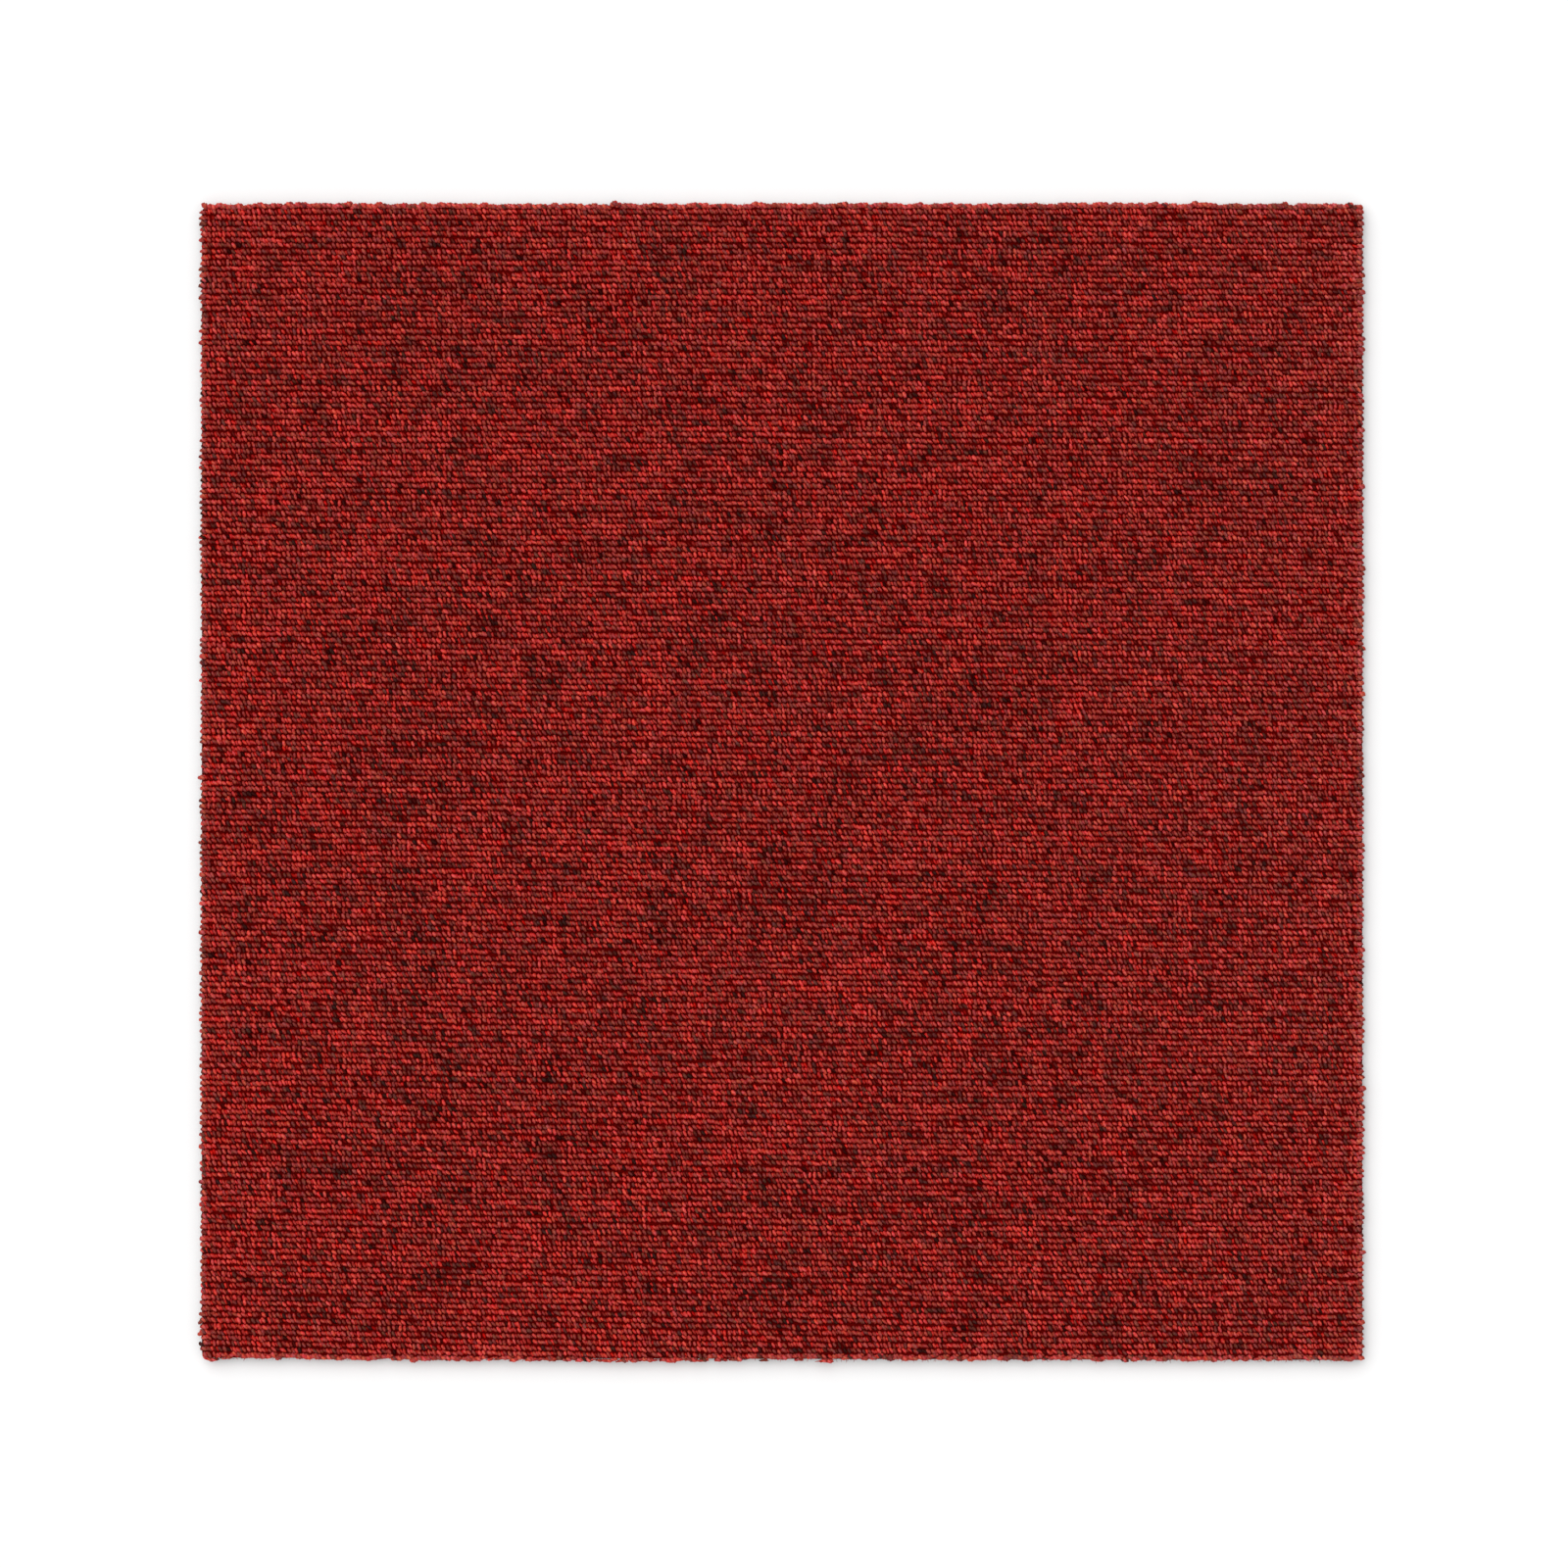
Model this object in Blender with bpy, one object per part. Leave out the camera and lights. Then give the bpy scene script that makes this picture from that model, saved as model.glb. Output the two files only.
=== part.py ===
"""A square carpet tile: a tufted loop pile bonded to a heavy backing slab.

The frame is in metres with +Z up. The tile lies face up, its loop rows run along X, and
the origin is the centre of the underside.
"""

import math

import bmesh
import bpy

# Driving dimensions of the tile
TILE_WIDTH = 0.500  # along X, the way the loop rows run
TILE_LENGTH = 0.500  # along Y, across the loop rows
BACKING_THICKNESS = 0.0027  # the filled slab with its underside fleece
CORNER_EASE = 0.0008  # radius that the cutting die leaves on the upright corners
BOND_GAP = 0.0003  # clearance between the two bonded pieces
PILE_FOOT = 0.0012  # primary cloth and the packed feet of the yarn, below the valleys
LOOP_RISE = 0.0019  # height of the loop crowns over the valleys between the rows
ROW_SPACING = 0.00249  # tufting gauge, one tenth of an inch drawn in a little by the backing

# How finely the round stretches are drawn
RIDGE_SEGMENTS = 4  # facets across the crown of one row
CORNER_SEGMENTS = 3  # facets round one eased corner

# Colours are linear; roughness and metallic go from 0 to 1
YARN_COLOUR = (0.235, 0.017, 0.013, 1.0)
YARN_ROUGHNESS = 0.9
BACKING_COLOUR = (0.020, 0.020, 0.022, 1.0)
BACKING_ROUGHNESS = 0.8
METALLIC = 0.0


def clear_scene():
    """Remove whatever the start-up file holds."""
    for old in list(bpy.data.objects):
        bpy.data.objects.remove(old)


def make_material(name, colour, roughness):
    material = bpy.data.materials.new(name)
    material.use_nodes = True
    shader = material.node_tree.nodes["Principled BSDF"]
    shader.inputs["Base Color"].default_value = colour
    shader.inputs["Roughness"].default_value = roughness
    shader.inputs["Metallic"].default_value = METALLIC
    material.diffuse_color = colour
    return material


def add_object(name, shape, material):
    """Turn a finished bmesh into a named object with one material."""
    bmesh.ops.recalc_face_normals(shape, faces=shape.faces)
    mesh = bpy.data.meshes.new(name)
    shape.to_mesh(mesh)
    shape.free()
    mesh.materials.append(material)
    made = bpy.data.objects.new(name, mesh)
    bpy.context.scene.collection.objects.link(made)
    return made


def extrude_outline(outline, travel):
    """Close an outline with a face and draw it out along one travel vector."""
    shape = bmesh.new()
    corners = [shape.verts.new(point) for point in outline]
    start = shape.faces.new(corners)
    drawn = bmesh.ops.extrude_face_region(shape, geom=[start])
    moved = [item for item in drawn["geom"] if isinstance(item, bmesh.types.BMVert)]
    bmesh.ops.translate(shape, vec=travel, verts=moved)
    return shape


def row_count():
    """Whole loop rows that fill the tile's length."""
    return max(1, round(TILE_LENGTH / ROW_SPACING))


def pile_profile():
    """Section of the pile across its rows, at the tile's -X edge: a flat foot under half ellipses."""
    base = BACKING_THICKNESS + BOND_GAP
    valley = base + PILE_FOOT
    half_width = TILE_WIDTH / 2
    half_length = TILE_LENGTH / 2
    half_row = half_length / row_count()
    points = [(-half_width, half_length, base), (-half_width, -half_length, base)]
    for row in range(row_count()):
        centre = -half_length + half_row * (2 * row + 1)
        for step in range(RIDGE_SEGMENTS):
            turn = math.pi * step / RIDGE_SEGMENTS
            across = centre - half_row * math.cos(turn)
            points.append((-half_width, across, valley + LOOP_RISE * math.sin(turn)))
    points.append((-half_width, half_length, valley))
    return points


def build_loop_pile():
    """The tufted face: every loop row a rounded rib, drawn along the tile's width."""
    shape = extrude_outline(pile_profile(), (TILE_WIDTH, 0, 0))
    yarn = make_material("loop_yarn", YARN_COLOUR, YARN_ROUGHNESS)
    return add_object("loop_pile", shape, yarn)


def backing_outline():
    """Plan of the backing on the floor, its four upright corners eased with arcs."""
    points = []
    for quarter in range(4):
        start = math.pi / 2 * quarter
        reach_x = math.copysign(TILE_WIDTH / 2 - CORNER_EASE, math.cos(start + math.pi / 4))
        reach_y = math.copysign(TILE_LENGTH / 2 - CORNER_EASE, math.sin(start + math.pi / 4))
        for step in range(CORNER_SEGMENTS + 1):
            turn = start + math.pi / 2 * step / CORNER_SEGMENTS
            points.append(
                (
                    reach_x + CORNER_EASE * math.cos(turn),
                    reach_y + CORNER_EASE * math.sin(turn),
                    0.0,
                )
            )
    return points


def build_backing():
    """The heavy slab that lies on the floor and carries the pile."""
    shape = extrude_outline(backing_outline(), (0, 0, BACKING_THICKNESS))
    compound = make_material("backing_compound", BACKING_COLOUR, BACKING_ROUGHNESS)
    return add_object("backing", shape, compound)


def main():
    clear_scene()
    build_backing()
    build_loop_pile()


main()
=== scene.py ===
"""Looks of a square loop-pile carpet tile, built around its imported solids.

The file is laid out as a Blender add-on and is run as a script. Everything is in metres,
with +Z up out of the pile, +X along the loop rows and the tile's underside at zero.
"""

import math
from collections import namedtuple

import bmesh
import bpy
import numpy as np
from bpy.props import FloatProperty, FloatVectorProperty, IntProperty, PointerProperty
from bpy.types import Operator, Panel, PropertyGroup
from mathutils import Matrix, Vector


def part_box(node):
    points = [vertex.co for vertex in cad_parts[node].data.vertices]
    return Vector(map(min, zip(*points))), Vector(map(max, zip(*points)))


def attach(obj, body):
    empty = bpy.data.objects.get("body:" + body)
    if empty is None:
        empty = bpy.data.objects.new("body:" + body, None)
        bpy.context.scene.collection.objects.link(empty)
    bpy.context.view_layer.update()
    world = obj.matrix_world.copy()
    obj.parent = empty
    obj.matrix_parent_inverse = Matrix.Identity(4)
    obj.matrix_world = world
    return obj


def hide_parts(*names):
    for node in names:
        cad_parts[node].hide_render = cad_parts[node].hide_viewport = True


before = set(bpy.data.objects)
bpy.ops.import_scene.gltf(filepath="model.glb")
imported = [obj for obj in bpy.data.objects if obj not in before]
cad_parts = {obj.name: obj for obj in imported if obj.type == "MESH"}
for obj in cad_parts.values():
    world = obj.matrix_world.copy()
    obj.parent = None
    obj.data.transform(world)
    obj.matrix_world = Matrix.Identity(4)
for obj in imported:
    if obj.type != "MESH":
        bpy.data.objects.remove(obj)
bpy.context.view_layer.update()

bl_info = {
    "name": "Carpet tile",
    "version": (1, 0, 0),
    "blender": (4, 5, 0),
    "location": "View3D > Sidebar > Carpet tile",
    "description": "Dresses a loop-pile carpet tile: yarn loops, cloth, backing and stage",
    "category": "Object",
}

PILE_LOW, PILE_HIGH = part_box("loop_pile")
BACKING_LOW, BACKING_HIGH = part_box("backing")
TILE_WIDTH = PILE_HIGH.x - PILE_LOW.x
TILE_LENGTH = PILE_HIGH.y - PILE_LOW.y
MM = 0.001


def length(name, description, default):
    """A length that the sidebar shows to a hundredth of a millimetre."""
    return FloatProperty(
        name=name, description=description, default=default, unit="LENGTH", precision=5
    )


def amount(name, description, default):
    """A plain number or a share of one."""
    return FloatProperty(name=name, description=description, default=default, precision=3)


def angle(name, description, degrees):
    return FloatProperty(
        name=name, description=description, default=math.radians(degrees), subtype="ANGLE"
    )


def colour(name, description, default):
    return FloatVectorProperty(
        name=name, description=description, default=default, subtype="COLOR", size=3, min=0, max=1
    )


class TuftSettings(PropertyGroup):
    """How the loops are tufted."""

    rows: IntProperty(name="Rows", description="Loop rows across the tile", default=201)
    stitches: IntProperty(name="Stitches", description="Loops along one row", default=232)
    strips: IntProperty(name="Strips", description="Meshes that share the inner rows", default=8)
    strand_length: length("Strand length", "One strand where it crosses a loop", 3.06 * MM)
    strand_width: length("Strand width", "One strand across its run", 1.61 * MM)
    second_share: amount("Second strand", "Size of the second strand against the first", 0.9)
    rim_drop: length("Rim drop", "From the crown to the widest place of a strand", 0.8 * MM)
    slant: angle("Slant", "How far the twist turns a strand out of its row", -56)
    slant_spread: angle("Slant spread", "How much the slant differs from strand to strand", 12)
    size_spread: amount("Size spread", "How much the strands differ in size", 0.10)
    height_spread: length("Height spread", "How much the crowns differ in height", 0.16 * MM)
    sunk_share: amount("Sunk share", "Share of the strands that lie deep", 0.06)
    sunk_depth: length("Sunk depth", "How deep those lie", 0.6 * MM)
    place_spread: length("Place spread", "How far a loop strays from its place", 0.21 * MM)
    strand_spread: length("Strand spread", "How far a strand strays in its loop", 0.15 * MM)
    sway: length("Sway", "How far a row sways along its run", 0.15 * MM)
    stagger: amount("Stagger", "Shift of every other row, in stitches", 0.11)
    crowding: length("Crowding", "How far the middle rows have crept to the far edge", 5.2 * MM)
    creep: length("Creep", "How far the rows run past the near edge", 1.65 * MM)
    slope: length("Slope", "How far the near rows slope from middle to side", 1.95 * MM)
    sag: length("Sag", "How far the near rows sag in the middle", 1.3 * MM)
    far_trim: length("Far trim", "How far short of the full length the far edge is", 0.95 * MM)
    near_trim: length("Near trim", "How far short of the full length the near edge is", 0.35 * MM)
    cut_slope: length("Cut slope", "How far the near edge runs out of square, to each side", 0.5 * MM)
    ply_thickness: length("Ply thickness", "One of the two plies of the yarn", 1.45 * MM)
    twist: angle("Twist", "Turn of the two plies over one loop", -400)


class YarnSettings(PropertyGroup):
    """The shades that are spun together in the yarn."""

    soot: colour("Soot", "Darkest filaments", (0.034, 0.0170, 0.0148))
    maroon: colour("Maroon", "Dark runs", (0.158, 0.0590, 0.0515))
    brick: colour("Brick", "The commonest shade", (0.358, 0.0810, 0.0715))
    red: colour("Red", "Clear runs", (0.565, 0.0985, 0.0870))
    scarlet: colour("Scarlet", "Brightest filaments", (0.718, 0.1140, 0.1015))
    dust: colour("Dust", "Dull shade spun in with the others", (0.290, 0.110, 0.100))
    # Partly the filaments' own fleck pattern, partly painted shade between filaments that leaves their
    # tops paler as painted sheen
    filament_hollow_shade: colour("Hollow", "What a shade keeps between two filaments", (0.80, 0.32, 0.32))
    # Painted shade: the colour the yarn is multiplied towards deep in the pile, standing in for shadow
    # and red interreflection
    deep: colour("Deep", "What the depth of the pile leaves of a shade", (0.91, 0.03, 0.02))
    run_share: amount("Run share", "Share of the heather that comes in runs", 0.27)
    run_hold: amount("Run hold", "How much of a strand's shade the next one keeps", 0.75)
    slow_share: amount("Slow share", "Share of the heather that drifts over the tile", 0.01)
    kinship: amount("Kinship", "How much of a row's shade the next row keeps", 0.12)
    contrast: amount("Contrast", "How far the strands differ in shade", 0.20)
    # Painted shade: strands that lie deep are coloured darker
    sunk_painted_shade: amount("Sunk shade", "How much darker the strands are that lie deep", 0.24)
    # How much of the painted depth shade the outermost loops keep
    shelter: amount("Shelter", "How much of the depth's tint the outermost loops keep", 0.25)
    fade: amount("Fade", "How much calmer the heather is at the far right", 0.12)
    # Streaks also sets how deep the painted shade between filaments goes
    streaks: amount("Streaks", "How sharply the filaments in one strand stand out", 3.4)
    # Bloom gives the higher first strands less painted shade between their filaments than the lower
    # second ones
    bloom: amount("Bloom", "How much fuller the filaments stand on first strands than on second", 0.08)
    dust_share: amount("Dust share", "Dull shade in the yarn", 0.08)
    dust_spread: amount("Dust spread", "How much that share differs from strand to strand", 0.035)
    rose: colour("Rose", "Tint of the cooler filaments", (1.0, 0.77, 1.0))
    amber: colour("Amber", "Tint of the warmer filaments", (1.0, 1.0, 0.58))
    side_light: amount("Side light", "How much paler the shades are towards the sides", 0.05)
    right_dust: amount("Right dust", "How much duller the far right is", 0.28)
    pale_rim: amount("Pale rim", "How much duller and paler the outermost loops are", 0.14)


class BackingSettings(PropertyGroup):
    """What carries the pile."""

    cloth_thickness: length("Cloth", "Primary cloth that the loops are stitched through", 0.5 * MM)
    bed_thickness: length("Bed", "Packed feet of the yarn over the cloth", 0.9 * MM)
    fleece_thickness: length("Fleece", "Felt on the underside", 0.5 * MM)
    corner_ease: length("Corner ease", "Radius of the upright corners on the right", 0.8 * MM)
    left_ease: length("Left ease", "Radius of the more worn corners on the left", 3.2 * MM)
    inset: length("Inset", "How far the slab stays behind the pile on every side", 0.2 * MM)
    cut_back: length("Cut back", "How far the slab stays behind the near and far cuts", 0.9 * MM)
    cloth: colour("Cloth", "Primary cloth", (0.060, 0.045, 0.040))
    # Painted shade: the yarn feet are coloured as yarn in shadow, darker and redder than the yarn
    # itself
    bed: colour("Bed", "Packed feet of the yarn", (0.160, 0.0015, 0.0010))
    compound: colour("Compound", "Filled slab", (0.016, 0.016, 0.017))
    fleece: colour("Fleece", "Felt on the underside", (0.055, 0.055, 0.058))


class StageSettings(PropertyGroup):
    """Floor, light and camera."""

    floor: colour("Floor", "Plain pale floor", (0.86, 0.86, 0.86))
    sky: amount("Sky", "Even light from all round", 0.72)
    key: amount("Key", "Soft light from the far left", 2.0)
    key_spread: angle("Key spread", "How wide the soft light is", 80)
    key_tilt: angle("Key tilt", "How far the soft light stands off the upright", 38)
    frame_width: length("Frame width", "Width that the picture shows at the crowns", 674.9 * MM)
    lens: amount("Lens", "Focal length in millimetres", 100.0)


def focus(piece):
    """Select one piece alone and make it the active one."""
    bpy.ops.object.select_all(action="DESELECT")
    piece.select_set(True)
    bpy.context.view_layer.objects.active = piece


def start_edit(piece):
    focus(piece)
    bpy.ops.object.mode_set(mode="EDIT")
    bpy.ops.mesh.select_all(action="DESELECT")


def end_edit():
    bpy.ops.object.mode_set(mode="OBJECT")


def select_points(piece, wanted):
    """Select only the vertices whose place passes the test, and what lies wholly between them."""
    bpy.ops.mesh.select_all(action="DESELECT")
    edited = bmesh.from_edit_mesh(piece.data)
    for point in edited.verts:
        point.select_set(wanted(point.co))
    edited.select_flush(True)
    bmesh.update_edit_mesh(piece.data)


def read_points(mesh):
    points = np.empty(len(mesh.vertices) * 3, np.float32)
    mesh.vertices.foreach_get("co", points)
    return points.reshape(-1, 3).astype(float)


def write_points(mesh, points):
    """Move the points of a mesh, given in any shape that ends in threes."""
    mesh.vertices.foreach_set("co", points.astype(np.float32).ravel())
    mesh.update()


def write_attribute(mesh, name, values, kind="FLOAT", key="value"):
    attribute = mesh.attributes.get(name) or mesh.attributes.new(name, kind, "POINT")
    attribute.data.foreach_set(key, np.asarray(values, np.float32).ravel())


def write_fibre(mesh, places):
    """Say where in the filament pattern each point lies."""
    write_attribute(mesh, "fibre", places, "FLOAT_VECTOR", "vector")


def copy_piece(template, name):
    """A named copy of a piece with a mesh of its own."""
    piece = template.copy()
    piece.data = template.data.copy()
    piece.name = name
    bpy.context.scene.collection.objects.link(piece)
    return piece


def take_map(mesh):
    """The corner places of the piece's own map, which is dropped from it."""
    corners = np.empty(len(mesh.loops) * 2, np.float32)
    mesh.uv_layers.active.data.foreach_get("uv", corners)
    drop_maps(mesh)
    return corners.reshape(-1, 2)


def drop_maps(mesh):
    while mesh.uv_layers:
        mesh.uv_layers.remove(mesh.uv_layers[0])


def lay_map(mesh, cell, places, grid):
    """Lay one copy's corner places in a cell of its own for every copy in the mesh."""
    layer = mesh.uv_layers.new(name="OFBake")
    spread = (places[:, None, :] + cell[None]) / np.array(grid)
    layer.data.foreach_set("uv", spread.astype(np.float32).ravel())


def lay_square_map(mesh, cell, count):
    """The same in a square of cells that is just large enough."""
    across = math.ceil(math.sqrt(count))
    down, over = np.divmod(np.arange(count), across)
    lay_map(mesh, cell, np.stack([over, down], axis=1), (across, across))


def array_copies(piece, *arrays):
    """Array a piece along one step after another; gives its points, each copy still in one place."""
    points_each = len(piece.data.vertices)
    offsets = np.zeros((1, 3))
    for name, count, step in arrays:
        array = piece.modifiers.new(name, "ARRAY")
        array.count = count
        array.use_relative_offset = False
        array.use_constant_offset = True
        array.constant_offset_displace = step
        focus(piece)
        bpy.ops.object.modifier_apply(modifier=name)
        offsets = (np.arange(count)[:, None, None] * np.array(step) + offsets).reshape(-1, 3)
    return read_points(piece.data).reshape(-1, points_each, 3) - offsets[:, None, :]


def finish_piece(piece, material, node):
    """Give a piece its material, hang it on the root body and hide the imported part it stands for."""
    piece.data.materials.clear()
    piece.data.materials.append(material)
    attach(piece, "root")
    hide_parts(node)


# Node helpers


def add_node(tree, kind, **values):
    """A node with its properties set by name."""
    node = tree.nodes.new(kind)
    for name, value in values.items():
        setattr(node, name, value)
    return node


def feed(tree, value, socket):
    """Link an output, or set a plain value, on a socket."""
    if isinstance(value, bpy.types.NodeSocket):
        tree.links.new(value, socket)
    else:
        socket.default_value = value


def calculate(tree, operation, *values):
    node = add_node(tree, "ShaderNodeMath", operation=operation)
    for socket, value in zip(node.inputs, values):
        feed(tree, value, socket)
    return node.outputs["Value"]


def noise(tree, place, turn, scale, detail, roughness):
    """Noise between 0 and 1 over a place that is turned about the upright and stretched."""
    stretch = add_node(tree, "ShaderNodeMapping")
    feed(tree, place, stretch.inputs["Vector"])
    stretch.inputs["Rotation"].default_value = (0.0, 0.0, turn)
    stretch.inputs["Scale"].default_value = scale
    node = add_node(tree, "ShaderNodeTexNoise")
    feed(tree, stretch.outputs["Vector"], node.inputs["Vector"])
    node.inputs["Scale"].default_value = 1.0
    node.inputs["Detail"].default_value = detail
    node.inputs["Roughness"].default_value = roughness
    return node.outputs["Fac"]


def mix_colours(tree, share, first, second, blend="MIX"):
    node = add_node(tree, "ShaderNodeMix", data_type="RGBA", blend_type=blend)
    feed(tree, share, node.inputs["Factor"])
    feed(tree, first, node.inputs["A"])
    feed(tree, second, node.inputs["B"])
    return node.outputs["Result"]


def new_group(name, inputs, outputs):
    """An empty shader node group with named sockets."""
    tree = bpy.data.node_groups.new(name, "ShaderNodeTree")
    for way, sockets in (("INPUT", inputs), ("OUTPUT", outputs)):
        for label, kind in sockets.items():
            tree.interface.new_socket(label, in_out=way, socket_type=f"NodeSocket{kind}")
    entry = tree.nodes.new("NodeGroupInput")
    leave = tree.nodes.new("NodeGroupOutput")
    return tree, entry.outputs, leave.inputs


def use_group(tree, group, **values):
    node = add_node(tree, "ShaderNodeGroup", node_tree=group)
    for name, value in values.items():
        feed(tree, value, node.inputs[name])
    return node.outputs


def new_material(name, roughness, gloss=0.25):
    """A material with an empty tree round its main shader."""
    material = bpy.data.materials.new(name)
    material.use_nodes = True
    tree = material.node_tree
    shader = tree.nodes["Principled BSDF"]
    shader.inputs["Roughness"].default_value = roughness
    shader.inputs["Specular IOR Level"].default_value = gloss
    place = tree.nodes.new("ShaderNodeTexCoord").outputs["Object"]
    return material, tree, shader, place


def add_bump(tree, shader, height, strength, distance):
    bump = add_node(tree, "ShaderNodeBump")
    bump.inputs["Strength"].default_value = strength
    bump.inputs["Distance"].default_value = distance
    feed(tree, height, bump.inputs["Height"])
    feed(tree, bump.outputs["Normal"], shader.inputs["Normal"])


# Yarn

# Numbers that the yarn's shader group takes, besides the place along the fibre
YARN_NUMBERS = ("Shade", "Dust", "Level", "Open", "Streaks", "Bloom")
YARN_ROUGHNESS = 0.88
YARN_GLOSS = 0.06
YARN_BUMP = 0.5
YARN_BUMP_HEIGHT = 0.3 * MM
FILAMENT_SCALE = (350.0, 4200.0, 1000.0)
FLECK_SCALE = (1000.0, 1100.0, 1000.0)
CAST_SCALE = (900.0, 900.0, 700.0)
CAST_TURN = 0.7
CAST_CONTRAST = 3.2
# Share of the fine filaments in the streaks, which the flecks fill up
FILAMENT_SHARE = 0.2
# Darkest and palest shade of the dull yarn, against its own colour
DULL_RANGE = (0.2, 1.8)
# Between these levels the painted shade of the pile's depth takes hold: darker and redder towards the
# feet
DEEP_LEVEL = PILE_HIGH.z - 0.95 * MM
CROWN_LEVEL = PILE_HIGH.z


def heather_group(yarn):
    """Shade of the yarn at a point, from its strand's own shade, its filaments, painted shade between
    the filaments and painted shade by the depth of the pile.
    """
    tree, given, made = new_group(
        "Heathered yarn",
        {"Fibre": "Vector", **dict.fromkeys(YARN_NUMBERS, "Float")},
        {"Color": "Color", "Height": "Float"},
    )
    flecks = noise(tree, given["Fibre"], 0.0, FLECK_SCALE, 1.0, 0.5)
    filaments = noise(tree, given["Fibre"], 0.0, FILAMENT_SCALE, 2.0, 0.6)
    flecks_part = calculate(tree, "MULTIPLY", flecks, 1 - FILAMENT_SHARE)
    streak = calculate(tree, "MULTIPLY_ADD", filaments, FILAMENT_SHARE, flecks_part)
    swing = calculate(tree, "SUBTRACT", streak, 0.5)
    stand = calculate(tree, "MULTIPLY_ADD", swing, given["Streaks"], 0.5)
    stand = calculate(tree, "ADD", stand, given["Bloom"])
    # Relief: fleck pattern plus painted shade between filaments, lightened by bloom on first strands
    relief = mix_colours(tree, stand, (*yarn.filament_hollow_shade, 1.0), (1.0, 1.0, 1.0, 1.0))
    ramp = add_node(tree, "ShaderNodeValToRGB")
    stops = ramp.color_ramp.elements
    palette = (yarn.soot, yarn.maroon, yarn.brick, yarn.red, yarn.scarlet)
    while len(stops) < len(palette):
        stops.new(0.5)
    for index, tint in enumerate(palette):
        stops[index].position = index / (len(palette) - 1)
        stops[index].color = (*tint, 1.0)
    feed(tree, given["Shade"], ramp.inputs["Fac"])
    darkest, palest = [(*(share * part for part in yarn.dust), 1.0) for share in DULL_RANGE]
    dull = mix_colours(tree, given["Shade"], darkest, palest)
    dusty = mix_colours(tree, given["Dust"], ramp.outputs["Color"], dull)
    cast = noise(tree, given["Fibre"], CAST_TURN, CAST_SCALE, 1.0, 0.5)
    cast = calculate(tree, "SUBTRACT", cast, 0.5)
    cast = calculate(tree, "MULTIPLY_ADD", cast, CAST_CONTRAST, 0.5)
    tint = mix_colours(tree, cast, (*yarn.rose, 1.0), (*yarn.amber, 1.0))
    tinted = mix_colours(tree, 1.0, dusty, tint, "MULTIPLY")
    tinted = mix_colours(tree, 1.0, tinted, relief, "MULTIPLY")
    # Painted shade of the pile's depth: below the crowns the colour is multiplied towards the deep
    # tint, less so on open loops
    depth = add_node(tree, "ShaderNodeMapRange")
    feed(tree, given["Level"], depth.inputs["Value"])
    depth.inputs["From Min"].default_value = CROWN_LEVEL
    depth.inputs["From Max"].default_value = DEEP_LEVEL
    sheltered = calculate(tree, "SUBTRACT", 1.0, given["Open"])
    sheltered = calculate(tree, "MULTIPLY", depth.outputs["Result"], sheltered)
    depth_shaded = mix_colours(tree, sheltered, tinted, (*yarn.deep, 1.0), "MULTIPLY")
    feed(tree, depth_shaded, made["Color"])
    feed(tree, calculate(tree, "MULTIPLY_ADD", filaments, 0.5, flecks), made["Height"])
    return tree


def read_attribute(tree, name, output="Fac"):
    return add_node(tree, "ShaderNodeAttribute", attribute_name=name).outputs[output]


def yarn_material():
    """Strands of heathered yarn, matte."""
    yarn = bpy.context.scene.carpet_yarn
    material, tree, shader, place = new_material("heathered_yarn", YARN_ROUGHNESS, YARN_GLOSS)
    parts = add_node(tree, "ShaderNodeSeparateXYZ")
    feed(tree, place, parts.inputs["Vector"])
    heather = use_group(
        tree,
        heather_group(yarn),
        Fibre=read_attribute(tree, "fibre", "Vector"),
        Shade=read_attribute(tree, "shade"),
        Dust=read_attribute(tree, "dust"),
        Level=parts.outputs["Z"],
        Open=read_attribute(tree, "open"),
        Streaks=yarn.streaks,
        Bloom=read_attribute(tree, "bloom"),
    )
    feed(tree, heather["Color"], shader.inputs["Base Color"])
    add_bump(tree, shader, heather["Height"], YARN_BUMP, YARN_BUMP_HEIGHT)
    return material


# Tufting

PLAN_SEED = 3
CUT_SEED = 5
DYE_SEED = 8
FOOT_LEVEL = PILE_LOW.z + 0.4 * MM
# Rows planned past the tile's length, which creep in over the near edge
SPARE_ROWS = 2
# How far, in rows, a loop's centre may lie past the cut without being lost
CUT_GRACE = 0.1
# How far loops and strands stray across their row, against along it
SIDEWAYS_PLACE = 0.5
SIDEWAYS_STRAND = 0.7
# How much of one loop's number the next one keeps
SWAY_HOLD = 0.8
SLANT_HOLD = 0.35
DULL_HOLD = 0.6
# How much of its neighbours' mean the grain takes away
GRAIN_BESIDE = 0.7
GRAIN_ABOVE = 0.1
RIM_REACH = 7.0 * MM
# How ragged the near cut is, and how much of what runs past it is pressed back
NEAR_RAGGED = 0.5 * MM
PRESSED = 0.93
# The same for the rounded corners on the left
ROUNDED = 0.9
# How far past the cut a point is wholly cut, and how much paler and greyer it then is
CUT_REACH = 0.3 * MM
CUT_SHADE = 0.15
CUT_DUST = 0.6
MOST_DUST = 0.9
# Height of the knife's waves through the near edge, and each one's pace along it and start
RIPPLE_HEIGHT = 0.13 * MM
RIPPLES = ((2900, 0), (1710, 1), (730, 2))
# Waves of the slow drift of the shades, the range of their paces, and a little over a whole turn
DRIFT_WAVES = 12
DRIFT_PACES = (0.03, 0.35)
LAST_START = 7
# Between first strands, at 0, and second strands, at 1
MIDDLE_STRAND = 0.5
# How many stitches the next strand has to be away for a second strand to stand between them
LEAST_ROOM = 0.99


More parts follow.
